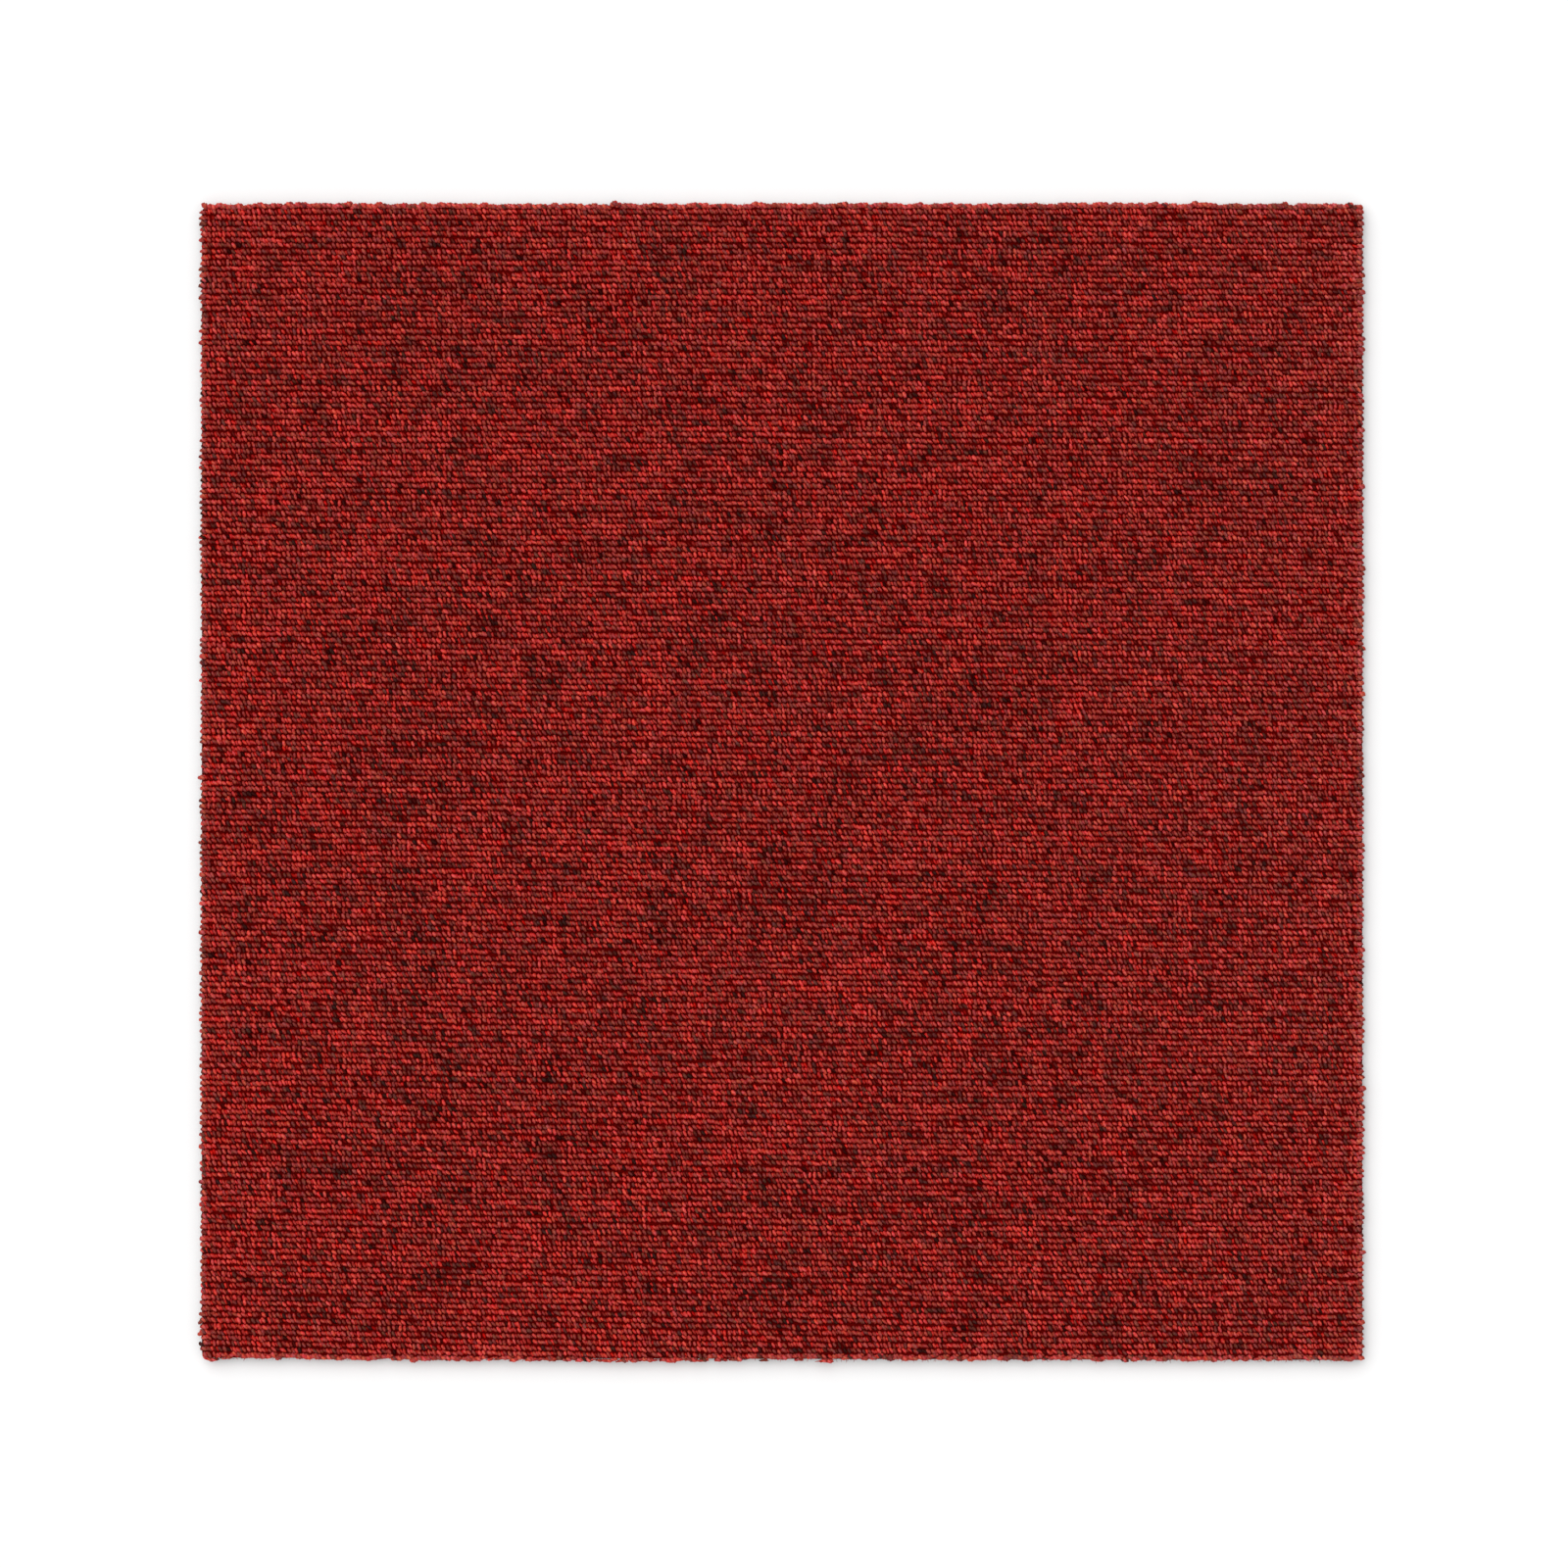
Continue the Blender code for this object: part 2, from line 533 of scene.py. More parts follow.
def row_drift(x, y):
    """How far the rows have drifted towards the near edge at a place on the tile."""
    tufts = bpy.context.scene.carpet_tufts
    across = 2 * x / TILE_WIDTH
    down = 0.5 - y / TILE_LENGTH
    middle = down * ((tufts.crowding + tufts.creep) * down - tufts.crowding)
    trims = tufts.far_trim * (1 - down) - tufts.near_trim * down
    return trims + middle + down * (tufts.slope * across - tufts.sag * down * across**2)


def cut_line(x):
    """Where the near edge is cut, a little out of square."""
    tufts = bpy.context.scene.carpet_tufts
    return PILE_LOW.y + tufts.near_trim - tufts.cut_slope * 2 * x / TILE_WIDTH


def ripple(x):
    """How the knife wandered through the soft loops of the near edge."""
    return RIPPLE_HEIGHT * sum(np.sin(pace * x + start) for pace, start in RIPPLES)


def make_runs(rows, stitches, hold, rng):
    """Numbers of unit spread in which every loop keeps a part of its neighbour's."""
    pushes = rng.normal(size=(rows, stitches)) * math.sqrt(1 - hold**2)
    runs = np.empty((rows, stitches))
    runs[:, 0] = rng.normal(size=rows)
    for stitch in range(1, stitches):
        runs[:, stitch] = hold * runs[:, stitch - 1] + pushes[:, stitch]
    return runs


def make_grain(rows, stitches, rng):
    """Loose numbers of about unit spread, each a little against the mean of its neighbours."""
    loose = rng.normal(size=(rows, stitches))
    beside = (np.roll(loose, -1, 1) + np.roll(loose, 1, 1)) / 2
    above = (np.roll(loose, -1, 0) + np.roll(loose, 1, 0)) / 2
    return loose - GRAIN_BESIDE * beside - GRAIN_ABOVE * above


def make_drift(rows, stitches, rng):
    """A slow drift of unit spread over the tile."""
    down, along = np.mgrid[0:rows, 0:stitches]
    drift = np.zeros((rows, stitches))
    for _ in range(DRIFT_WAVES):
        wave_down, wave_along = rng.uniform(*DRIFT_PACES, 2)
        start = rng.uniform(0, LAST_START)
        drift += np.sin(wave_down * down + wave_along * along + start)
    return drift / math.sqrt(DRIFT_WAVES / 2)


def heather_shades(rows, stitches, rng):
    """Shade of both strands of every loop: runs along the row, a slow drift and loose grain."""
    yarn = bpy.context.scene.carpet_yarn
    strands = (rows, 2 * stitches)
    mixed = math.sqrt(yarn.run_share) * make_runs(*strands, yarn.run_hold, rng)
    mixed += math.sqrt(yarn.slow_share) * make_drift(*strands, rng)
    mixed += math.sqrt(1 - yarn.run_share - yarn.slow_share) * make_grain(*strands, rng)
    mixed = (mixed + yarn.kinship * np.roll(mixed, 1, 0)) / math.hypot(1, yarn.kinship)
    down, along = np.mgrid[-1 : 1 : rows * 1j, -1 : 1 : 2j * stitches]
    calm = 1 + yarn.fade * (down - along) / 2
    return (0.5 + yarn.contrast * calm * mixed).reshape(rows, stitches, 2)


class Tufting:
    """Where every loop of the tile stands, how its two strands lie and how they are dyed."""

    def __init__(self):
        tufts = bpy.context.scene.carpet_tufts
        self.pitch = TILE_LENGTH / tufts.rows
        self.stitch = TILE_WIDTH / tufts.stitches
        self.per_strip = math.ceil((tufts.rows + SPARE_ROWS) / tufts.strips)
        self.rows = self.per_strip * tufts.strips
        self.columns = tufts.stitches
        self.loops = (self.rows, self.columns)
        rng = np.random.default_rng(PLAN_SEED)
        self.place_loops(tufts, rng)
        self.lay_strands(tufts, rng)
        self.dye_strands(bpy.context.scene.carpet_yarn, rng)
        self.sort_loops()

    def place_loops(self, tufts, rng):
        """Centres of the loops in their drifting, swaying rows."""
        row, column = np.mgrid[0 : self.rows, 0 : self.columns]
        plain_x = PILE_LOW.x + (column + 0.5) * self.stitch
        plain_y = PILE_HIGH.y - (row + 0.5) * self.pitch
        shift = (row % 2 - 0.5) * tufts.stagger * self.stitch
        sway = make_runs(*self.loops, SWAY_HOLD, rng) * tufts.sway
        self.x = plain_x + shift + rng.normal(size=self.loops) * tufts.place_spread
        self.y = plain_y - row_drift(plain_x, plain_y) + sway
        self.y += rng.normal(size=self.loops) * tufts.place_spread * SIDEWAYS_PLACE

    def lay_strands(self, tufts, rng):
        """Place, turn, size and height of both strands; the second stands midway to the next loop."""
        strands = (*self.loops, 2)
        self.strand_x = self.x[..., None] + rng.normal(size=strands) * tufts.strand_spread
        step = np.diff(self.strand_x[..., 0], append=self.strand_x[:, -1:, 0] + self.stitch)
        self.strand_x[..., 1] = self.strand_x[..., 0] + step / 2
        self.paired = step > self.stitch * LEAST_ROOM
        stray = rng.normal(size=strands) * tufts.strand_spread * SIDEWAYS_STRAND
        self.strand_y = self.y[..., None] + stray
        slants = [make_runs(*self.loops, SLANT_HOLD, rng) for _ in range(2)]
        self.turn = tufts.slant + np.stack(slants, axis=2) * tufts.slant_spread
        self.longer = 1 + rng.normal(size=strands) * tufts.size_spread
        self.wider = 1 + rng.normal(size=strands) * tufts.size_spread
        self.rise = rng.normal(size=strands) * tufts.height_spread
        self.sunk = rng.random(strands) < tufts.sunk_share
        self.rise -= self.sunk * tufts.sunk_depth

    def dye_strands(self, yarn, rng):
        """Shade and greyness of both strands, and their stretch of the filament pattern."""
        # Strands that lie deep get painted shade
        self.shade = heather_shades(*self.loops, rng) - yarn.sunk_painted_shade * self.sunk
        rim = np.minimum(TILE_WIDTH / 2 - abs(self.x), TILE_LENGTH / 2 - abs(self.y))
        dull = [make_runs(*self.loops, DULL_HOLD, rng) for _ in range(2)]
        self.dust = yarn.dust_share + yarn.dust_spread * np.stack(dull, axis=2)
        pale = (yarn.pale_rim * np.exp(-np.maximum(rim, 0) / RIM_REACH))[..., None]
        across = (2 * self.x / TILE_WIDTH)[..., None]
        self.dust += pale + yarn.right_dust * np.clip(across, 0, 1) ** 3
        down = np.clip(-2 * self.y / TILE_LENGTH, 0, 1)[..., None]
        self.shade += pale / 2 + yarn.side_light * (across**4 + down**4 / 3)
        self.seed = rng.uniform(0, 1, (*self.loops, 2))

    def sort_loops(self):
        """Which loops the cut leaves, which of them lie along an edge and which are inner ones."""
        self.kept = self.y > cut_line(self.x) - CUT_GRACE * self.pitch
        last = self.kept.sum(axis=0) - 1
        self.edge = {
            "far": [(0, place) for place in range(1, self.columns)],
            "near": [(int(last[place]), place) for place in range(self.columns)],
            "left": [(place, 0) for place in range(1, int(last[0]))],
            "right": [(place, self.columns - 1) for place in range(1, int(last[-1]))],
        }
        self.inner = self.kept.copy()
        for side in self.edge.values():
            for place in side:
                self.inner[place] = False


def height_share(points):
    """How high each point lies between the feet of the loops and their crowns."""
    return (points[:, :, 2] - FOOT_LEVEL) / (PILE_HIGH.z - FOOT_LEVEL)


def turn_out(points, turn, longer, wider):
    """Stretch copies of a shape along and across its run and turn them, shape (loops, points)."""
    along = points[:, :, 0] * longer
    across = points[:, :, 1] * wider
    return (
        along * np.cos(turn) - across * np.sin(turn),
        along * np.sin(turn) + across * np.cos(turn),
    )


def trim(points):
    """Press what runs past the cut or the left corners into them; gives how far past the cut it was."""
    loose = np.random.default_rng(CUT_SEED).normal(size=(len(points), 1)) * NEAR_RAGGED
    cut = cut_line(points[:, :, 0]) + ripple(points[:, :, 0]) + loose
    past = np.maximum(cut - points[:, :, 1], 0)
    points[:, :, 1] += past * PRESSED
    tufts = bpy.context.scene.carpet_tufts
    radius = bpy.context.scene.carpet_backing.left_ease
    near = PILE_LOW.y + tufts.near_trim + tufts.cut_slope
    for level in (near + radius, PILE_HIGH.y - tufts.far_trim - radius):
        away_x = PILE_LOW.x + radius - points[:, :, 0]
        away_y = (points[:, :, 1] - level) * (1 if level > 0 else -1)
        far = np.hypot(away_x, away_y)
        outside = (away_x > 0) & (away_y > 0) & (far > radius)
        eased = radius + (1 - ROUNDED) * (far - radius)
        back = np.where(outside, eased / np.maximum(far, 1e-6), 1)
        points[:, :, 0] = PILE_LOW.x + radius - away_x * back
        points[:, :, 1] = level + (points[:, :, 1] - level) * back
    return past


def move_level(piece, low, high, level):
    """Bring the points that lie between two heights to one level."""
    select_points(piece, lambda place: low < place.z < high)
    bpy.ops.transform.resize(value=(1, 1, 0), center_override=(0, 0, 0))
    bpy.ops.transform.translate(value=(0, 0, level))


def model_strand(sides, crest, size, crown):
    """One strand where it crosses a loop: a hidden root, a rim and over it a crest or a peak.

    It starts as a cone between -1 and 1 on its point, whose wide end is drawn on to 2.
    """
    tufts = bpy.context.scene.carpet_tufts
    bpy.ops.object.select_all(action="DESELECT")
    bpy.ops.mesh.primitive_cone_add(vertices=sides, radius1=0, radius2=1, depth=2, location=(0, 0, 0))
    strand = bpy.context.object
    start_edit(strand)
    if sides == 4:
        bpy.ops.mesh.select_all(action="SELECT")
        bpy.ops.transform.rotate(value=math.pi / 4, orient_axis="Z", center_override=(0, 0, 0))
    select_points(strand, lambda place: place.z > 0)
    bpy.ops.mesh.extrude_region_move(TRANSFORM_OT_translate={"value": (0, 0, 1)})
    for end in (-1, 1) if crest else (0,):
        select_points(strand, lambda place: place.z > 1.5 and (place.x + 0.2 * place.y) * end >= 0)
        bpy.ops.mesh.merge(type="CENTER")
    select_points(strand, lambda place: place.z > 1.5)
    bpy.ops.transform.resize(value=(crest, 1, 1), center_override=(0, 0, 0))
    bpy.ops.mesh.select_all(action="SELECT")
    half = (size * tufts.strand_length / 2, size * tufts.strand_width / 2, 1)
    bpy.ops.transform.resize(value=half, center_override=(0, 0, 0))
    move_level(strand, 1.5, 2.5, crown)
    move_level(strand, 0.5, 1.5, crown - tufts.rim_drop)
    move_level(strand, -1.5, -0.5, FOOT_LEVEL)
    bpy.ops.mesh.select_all(action="SELECT")
    bpy.ops.mesh.quads_convert_to_tris()
    bpy.ops.mesh.normals_make_consistent(inside=False)
    bpy.ops.mesh.faces_shade_smooth()
    end_edit()
    return strand


# Length of the first strand's crest against its rim, and how far the second strand stays below it
CREST = 0.75
SECOND_DROP = 0.16 * MM
# The bake map of a strip is folded into this many bands
MAP_BANDS = 3
# Where the parts of both strands lie in one cell of the bake map: corner, then width and height
STRAND_CELLS = (((0.03, 0.40), (0.94, 0.57)), ((0.03, 0.03), (0.58, 0.33)))
ROOT_CELLS = (((0.66, 0.03), (0.13, 0.33)), ((0.84, 0.03), (0.13, 0.33)))


def flat_cell(mesh, shown, hidden):
    """Corner places of one strand: what shows from above laid large, and its underside small."""
    points = read_points(mesh)
    low, high = points.min(0), points.max(0)
    flat = (points[:, :2] - low[:2]) / (high - low)[:2]
    corners = []
    for face in mesh.polygons:
        corner, size = shown if face.normal.z > 0 else hidden
        for point in face.vertices:
            corners.append(np.array(corner) + flat[point] * np.array(size))
    return np.array(corners)


def model_loop():
    """One inner loop: a six-sided strand with a crest and a four-sided one beside it, 15 points."""
    tufts = bpy.context.scene.carpet_tufts
    first = model_strand(6, CREST, 1.0, PILE_HIGH.z)
    second = model_strand(4, 0.0, tufts.second_share, PILE_HIGH.z - SECOND_DROP)
    cells = []
    for index, strand in enumerate((first, second)):
        cells.append(flat_cell(strand.data, STRAND_CELLS[index], ROOT_CELLS[index]))
        write_attribute(strand.data, "strand", np.full(len(strand.data.vertices), index))
    focus(first)
    second.select_set(True)
    bpy.ops.object.join()
    drop_maps(first.data)
    write_fibre(first.data, read_points(first.data))
    return first, np.concatenate(cells)


def read_numbers(mesh, name, kind="value", width=1):
    """An attribute's numbers as an array."""
    numbers = np.empty(len(mesh.vertices) * width, np.float32)
    mesh.attributes[name].data.foreach_get(kind, numbers)
    return numbers.astype(float)


def seed_fibres(mesh, seeds):
    """Give every strand its own stretch of the filament pattern."""
    fibre = read_numbers(mesh, "fibre", "vector", 3).reshape(-1, 3)
    fibre[:, 2] = seeds.ravel()
    write_fibre(mesh, fibre)


def dye(mesh, shade, dust, strand, past):
    """Write the shade and the greyness of every point; cut ends are paler and greyer."""
    cut = np.clip(past / CUT_REACH, 0, 1)
    cut *= np.random.default_rng(DYE_SEED).uniform(0, 1, (len(past), 1))
    # First strands, which stand higher, get less painted shade between their filaments
    first = np.broadcast_to(1 - 2 * strand, past.shape)
    write_attribute(mesh, "bloom", bpy.context.scene.carpet_yarn.bloom * first)
    write_attribute(mesh, "shade", shade + CUT_SHADE * cut)
    write_attribute(mesh, "dust", np.clip(dust + CUT_DUST * cut, 0, MOST_DUST))


def build_strip(index, template, cell, material, plan):
    """One strip of inner rows: the loop arrayed along its row and down the strip, then sculpted."""
    first = index * plan.per_strip
    strip = copy_piece(template, f"loop_rows_{index + 1}")
    mesh = strip.data
    strand = read_numbers(mesh, "strand").astype(int)[None, :]
    points = array_copies(
        strip,
        ("stitches", plan.columns, (plan.stitch, 0, 0)),
        ("rows", plan.per_strip, (0, -plan.pitch, 0)),
    )
    rows, columns = np.divmod(np.arange(len(points)), plan.columns)
    pick = (rows[:, None] + first, columns[:, None], strand)
    x, y = turn_out(points, plan.turn[pick], plan.longer[pick], plan.wider[pick])
    points[:, :, 0] = x + plan.strand_x[pick]
    points[:, :, 1] = y + plan.strand_y[pick]
    points[:, :, 2] += plan.rise[pick] * np.clip(height_share(points), 0, 1)
    past = trim(points)
    write_points(mesh, points)
    seed_fibres(mesh, plan.seed[pick])
    dye(mesh, plan.shade[pick], plan.dust[pick], strand, past)
    per_band = math.ceil(plan.columns / MAP_BANDS)
    band, over = np.divmod(columns, per_band)
    places = np.stack([over, band * plan.per_strip + rows], axis=1)
    lay_map(mesh, cell, places, (per_band, MAP_BANDS * plan.per_strip))
    # First strands stand wherever a loop is an inner one, second strands where they have room,
    # and the first column keeps its second strands behind the loops of the edge
    inner = plan.inner[rows + first, columns][:, None]
    paired = plan.paired[rows + first, columns][:, None]
    behind = (plan.kept[rows + first, columns] & (columns == 0))[:, None] & (strand == 1)
    clear_points(strip, ~(behind | (inner & (paired | (strand == 0)))).ravel())
    finish_piece(strip, material, "loop_pile")


def clear_points(piece, unwanted):
    """Delete the points that are marked."""
    start_edit(piece)
    end_edit()
    piece.data.vertices.foreach_set("select", unwanted)
    bpy.ops.object.mode_set(mode="EDIT")
    bpy.ops.mesh.delete(type="VERT")
    end_edit()


# Loops at the edge

STATIONS = 9
# How far the filament pattern runs on from station to station and from corner to corner
STATION_RUN = 0.6 * MM
CORNER_RUN = 0.7 * MM
# Half the width of the arch in stitches, how blunt its top is, how far it rises over the crowns,
# how far the plies stand off it, in their own thickness, and how much of that counts at the top;
# then how much the arches differ in turn, length, width and height
ARCH_HALF = 0.37
ARCH_BLUNT = 0.6
ARCH_RISE = 0.05 * MM
PLY_ORBIT = 0.42
TOP_ORBIT = 0.8
ARCH_SPREAD = np.array([0.12, 0.06, 0.1, 0.1 * MM]).reshape(4, 1, 1)
STRAY_SHARE = 0.07
STRAY_LEAN = 0.55 * MM
EDGE_SHADE = 0.1
# The most ragged stretches of the left side: its near end and its first loops
WORN_FROM = 0.93
WORN_RAGGED = 1.2
FIRST_LOOPS = 3
FIRST_LEAN = 0.45 * MM

Side = namedtuple("Side", "outward lean ragged brown seed")
SIDES = {
    "far": Side((0, 1), 0.0, 0.28 * MM, 0.0, 3),
    "near": Side((0, -1), 0.0, 0.34 * MM, 0.0, 4),
    "left": Side((-1, 0), -0.14 * MM, 0.15 * MM, 0.15, 4),
    "right": Side((1, 0), -0.18 * MM, 0.12 * MM, 0.05, 5),
}


def lay_tube(path, thickness):
    """A closed tube with four sides along a path of points."""
    bpy.ops.object.select_all(action="DESELECT")
    bpy.ops.curve.primitive_nurbs_path_add(location=(0, 0, 0))
    tube = bpy.context.object
    spline = tube.data.splines[0]
    spline.points.add(len(path) - len(spline.points))
    for point, place in zip(spline.points, path):
        point.co = (*place, 1)
    spline.type = "POLY"
    tube.data.dimensions = "3D"
    tube.data.bevel_depth = thickness / 2
    tube.data.bevel_resolution = 0
    focus(tube)
    bpy.ops.object.convert(target="MESH")
    start_edit(tube)
    bpy.ops.mesh.select_all(action="SELECT")
    bpy.ops.mesh.fill_holes(sides=4)
    end_edit()
    return tube


def lay_ply(phase, stitch):
    """One of the two plies: a thin tube wound round the arch of the loop."""
    tufts = bpy.context.scene.carpet_tufts
    half = ARCH_HALF * stitch
    orbit = PLY_ORBIT * tufts.ply_thickness
    rise = PILE_HIGH.z + ARCH_RISE - orbit * TOP_ORBIT - tufts.ply_thickness / 2 - FOOT_LEVEL
    path = []
    for index in range(STATIONS):
        done = index / (STATIONS - 1)
        bow = math.pi * done
        out = Vector((-math.cos(bow), 0, ARCH_BLUNT * math.sin(bow))).normalized()
        middle = Vector((-half * math.cos(bow), 0, FOOT_LEVEL + rise * math.sin(bow) ** ARCH_BLUNT))
        turn = phase + tufts.twist * (done - 0.5)
        side = out * math.cos(turn) + Vector((0, 1, 0)) * math.sin(turn)
        path.append(middle + side * orbit)
    return lay_tube(path, tufts.ply_thickness)


def close_shape(piece):
    """Turn a piece's faces outward, smooth them and give them a map of their own."""
    start_edit(piece)
    bpy.ops.mesh.select_all(action="SELECT")
    bpy.ops.mesh.normals_make_consistent(inside=False)
    bpy.ops.mesh.faces_shade_smooth()
    bpy.ops.uv.smart_project(angle_limit=math.radians(60), island_margin=0.03)
    end_edit()


def model_edge_loop(stitch):
    """One loop at the tile's edge: two plies twisted together, laid in an arch on both its legs."""
    plies = [lay_ply(phase, stitch) for phase in (0, math.pi)]
    for index, ply in enumerate(plies):
        stations, corners = np.divmod(np.arange(len(ply.data.vertices)), 4)
        write_attribute(ply.data, "strand", np.full(len(stations), index))
        run = np.stack([stations * STATION_RUN, corners * CORNER_RUN, 0 * stations], axis=1)
        write_fibre(ply.data, run)
    focus(plies[0])
    plies[1].select_set(True)
    bpy.ops.object.join()
    close_shape(plies[0])
    return plies[0]


def finish_copies(piece, material, cell, seeds, openness):
    """Close a piece of arches or fibres: filaments, openness, bake map, material and root body."""
    mesh = piece.data
    seed_fibres(mesh, np.repeat(seeds, len(mesh.vertices) // len(seeds)))
    # Openness lets a loop off part of the painted depth shade
    write_attribute(mesh, "open", np.full(len(mesh.vertices), openness))
    lay_square_map(mesh, cell, len(seeds))
    finish_piece(piece, material, "loop_pile")


def lean_out(name, rows, plan, rng):
    """How far each loop of one side leans out of it."""
    side = SIDES[name]
    ragged = side.ragged * rng.normal(size=len(rows))
    lean = side.lean + ragged + STRAY_LEAN * (rng.random(len(rows)) < STRAY_SHARE)
    if name == "left":
        lean += WORN_RAGGED * ragged * (rows > WORN_FROM * plan.rows)
        lean[:FIRST_LOOPS] += FIRST_LEAN
    return lean


def build_edge(name, template, material, plan):
    """The loops along one side of the tile."""
    side = SIDES[name]
    places = plan.edge[name]
    rng = np.random.default_rng(side.seed)
    piece = copy_piece(template, f"edge_loops_{name}")
    mesh = piece.data
    cell = take_map(mesh)
    lobe = read_numbers(mesh, "strand")[None, :]
    points = array_copies(piece, ("stitches", len(places), (plan.stitch, 0, 0)))
    rows, columns = np.array(places).T
    turn, longer, wider, rise = ARCH_SPREAD * rng.normal(size=(4, len(places), 1))
    x, y = turn_out(points, turn, 1 + longer, 1 + wider)
    lean = lean_out(name, rows, plan, rng)
    points[:, :, 0] = x + (plan.x[rows, columns] + side.outward[0] * lean)[:, None]
    points[:, :, 1] = y + (plan.y[rows, columns] + side.outward[1] * lean)[:, None]
    points[:, :, 2] += rise * height_share(points)
    past = trim(points)
    write_points(mesh, points)
    shades = plan.shade[rows, columns]
    dust = plan.dust[rows, columns, :1] + side.brown
    shade = EDGE_SHADE - side.brown + shades[:, :1] * (1 - lobe) + shades[:, 1:] * lobe
    dye(mesh, shade, dust, lobe, past)
    # Edge loops keep only part of the painted depth shade
    openness = 1 - bpy.context.scene.carpet_yarn.shelter
    finish_copies(piece, material, cell, plan.seed[rows, columns, 0], openness)


# Loops that stand out of the edge: place in millimetres, turn in degrees, size, shade, greyness
LOOSE_LOOPS = (
    (-248.3, 247.7, -45, 1.15, 0.62, 0.35),
    (-250.1, 220.8, 15, 0.75, 0.45, 0.40),
    (-250.2, -26.4, -20, 0.70, 0.40, 0.40),
    (-250.3, -232.8, 25, 0.80, 0.35, 0.60),
    (-250.3, -237.8, 10, 0.85, 0.70, 0.25),
    (-249.9, -242.5, -35, 0.80, 0.05, 0.20),
)


def build_loose(template, material):
    """The few loops that stand out of the edge."""
    piece = copy_piece(template, "loose_loops")
    mesh = piece.data
    cell = take_map(mesh)
    points = array_copies(piece, ("loops", len(LOOSE_LOOPS), (MM, 0, 0)))
    x, y, turn, size, shade, dust = np.array(LOOSE_LOOPS).T[:, :, None]
    flat_x, flat_y = turn_out(points, np.radians(turn), size, size)
    points[:, :, 0] = x * MM + flat_x
    points[:, :, 1] = y * MM + flat_y
    write_points(mesh, points)
    dye(mesh, shade, dust, MIDDLE_STRAND, np.zeros(points.shape[:2]))
    finish_copies(piece, material, cell, np.linspace(0.1, 0.9, len(LOOSE_LOOPS)), 1.0)


# Fibres that stand out round the edge
FIBRES = 560
FIBRE_SEED = 11
FIBRE_THICKNESS = 0.18 * MM
FIBRE_LENGTH = 1.2 * MM
FIBRE_SIZES = (0.35, 1.1)
FIBRE_SHADES = (0.2, 0.9)
FIBRE_DUST = 0.4
FIBRE_DROOP = 0.3 * MM
FIBRE_CURL = 0.5 * MM
# Spread of the headings, and how far inside the edge the roots lie
FIBRE_FAN = 0.7
FIBRE_ROOT = 0.8 * MM
FIBRE_STATIONS = 5
# How far towards the corners the roots come, as a share of the tile, and between which heights
FIBRE_REACH = 0.49
FIBRE_LEVELS = (PILE_LOW.z + 1.0 * MM, PILE_HIGH.z - 0.4 * MM)


def model_fibre():
    """One loose fibre along +X, its root at zero."""
    path = [(FIBRE_LENGTH * index / (FIBRE_STATIONS - 1), 0, 0) for index in range(FIBRE_STATIONS)]
    fibre = lay_tube(path, FIBRE_THICKNESS)
    close_shape(fibre)
    return fibre


def build_fibres(material):
    """Loose fibres round the whole edge, each with its own heading, droop and curl."""
    rng = np.random.default_rng(FIBRE_SEED)
    piece = model_fibre()
    piece.name = "stray_fibres"
    mesh = piece.data
    cell = take_map(mesh)
    points = array_copies(piece, ("fibres", FIBRES, (0, MM, 0)))
    side = rng.integers(0, 4, FIBRES)
    along = rng.uniform(-FIBRE_REACH, FIBRE_REACH, FIBRES)
    size = rng.uniform(*FIBRE_SIZES, (FIBRES, 1))
    done = points[:, :, 0] / FIBRE_LENGTH
    points[:, :, 1] += rng.normal(size=(FIBRES, 1)) * FIBRE_CURL * done**2
    points[:, :, 2] += (rng.normal(size=(FIBRES, 1)) - 1) * FIBRE_DROOP * done**2
    heading = (side * math.pi / 2 + rng.normal(size=FIBRES) * FIBRE_FAN)[:, None]
    x, y = turn_out(points, heading, size, 1.0)
    outward = np.stack([np.cos(side * math.pi / 2), np.sin(side * math.pi / 2)])
    root = outward * (TILE_WIDTH / 2 - FIBRE_ROOT) + outward[::-1] * along * TILE_WIDTH
    root[1] -= (side == 1) * bpy.context.scene.carpet_tufts.far_trim
    root[1] += (side == 3) * (cut_line(root[0]) - PILE_LOW.y)
    points[:, :, 0] = x + root[0][:, None]
    points[:, :, 1] = y + root[1][:, None]
    points[:, :, 2] += rng.uniform(*FIBRE_LEVELS, (FIBRES, 1))
    write_points(mesh, points)
    write_fibre(mesh, 0 * points)
    seeds = rng.uniform(0, 1, FIBRES)
    shade = rng.uniform(*FIBRE_SHADES, (FIBRES, 1))
    dye(mesh, shade, FIBRE_DUST, MIDDLE_STRAND, np.zeros(points.shape[:2]))
    finish_copies(piece, material, cell, seeds, 1.0)


class CARPETTILE_OT_loop_rows(Operator):
    """Tuft the inner loop rows"""

    bl_idname = "carpet_tile.loop_rows"
    bl_label = "Loop rows"

    def execute(self, context):
        material = yarn_material()
        plan = Tufting()
        template, cell = model_loop()
        for index in range(context.scene.carpet_tufts.strips):
            build_strip(index, template, cell, material, plan)
        bpy.data.objects.remove(template)
        return {"FINISHED"}


class CARPETTILE_OT_edge_loops(Operator):
    """Tuft the loops round the tile's edge"""

    bl_idname = "carpet_tile.edge_loops"
    bl_label = "Edge loops"

    def execute(self, context):
        material = bpy.data.materials["heathered_yarn"]
        plan = Tufting()
        template = model_edge_loop(plan.stitch)
        for name in plan.edge:
            build_edge(name, template, material, plan)
        build_loose(template, material)
        bpy.data.objects.remove(template)
        build_fibres(material)
        return {"FINISHED"}


# Backing

CORNER_SEGMENTS = 6
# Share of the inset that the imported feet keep
BED_INSET = 0.3

